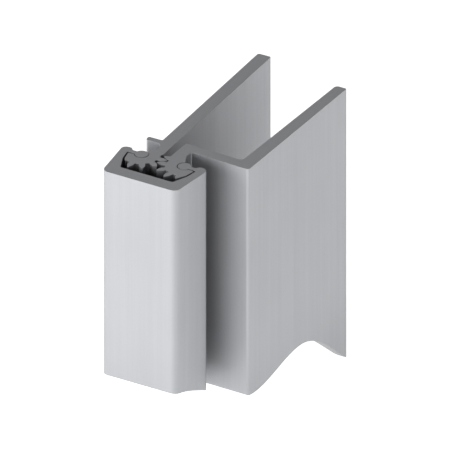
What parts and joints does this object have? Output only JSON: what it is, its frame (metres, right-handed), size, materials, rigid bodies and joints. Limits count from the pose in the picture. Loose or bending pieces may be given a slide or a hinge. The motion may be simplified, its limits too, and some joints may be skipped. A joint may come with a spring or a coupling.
{
  "type": "continuous geared hinge section",
  "caption": "Short section of a continuous geared hinge: a flat frame leaf and an angled door leaf mesh as gears inside a C-shaped cover, with a hidden thrust bearing.",
  "frame": {"origin": "on the frame leaf's pivot axis, in the plane of the flat end, at the middle of the cover's round bead", "axes": "+Z along the hinge towards the flat end, +Y from the pivot along the frame leaf's plate, +X from the frame leaf towards the door leaf"},
  "size_m": [0.0303, 0.061, 0.0698],
  "materials": {
    "satin_aluminium": "clear anodised, satin",
    "acetal": "moulded, matt"
  },
  "bodies": {
    "frame": {"frame_leaf": "satin_aluminium"},
    "cover": {"gear_cover": "satin_aluminium", "thrust_bearing": "acetal"},
    "door": {"door_leaf": "satin_aluminium"}
  },
  "joints": [
    {"name": "cover_swing", "type": "hinge", "parent": "frame", "child": "cover", "pos_m": [0, 0, 0], "axis": [0, 0, -1], "range_deg": [-1.2, 88.8]},
    {"name": "door_leaf_swing", "type": "hinge", "parent": "cover", "child": "door", "pos_m": [0.0107, -0.00022, 0], "axis": [0, 0, -1], "range_deg": [-1.2, 88.8]}
  ],
  "couplings": [
    {"joint": "door_leaf_swing", "follows": "cover_swing", "ratio": 1}
  ]
}
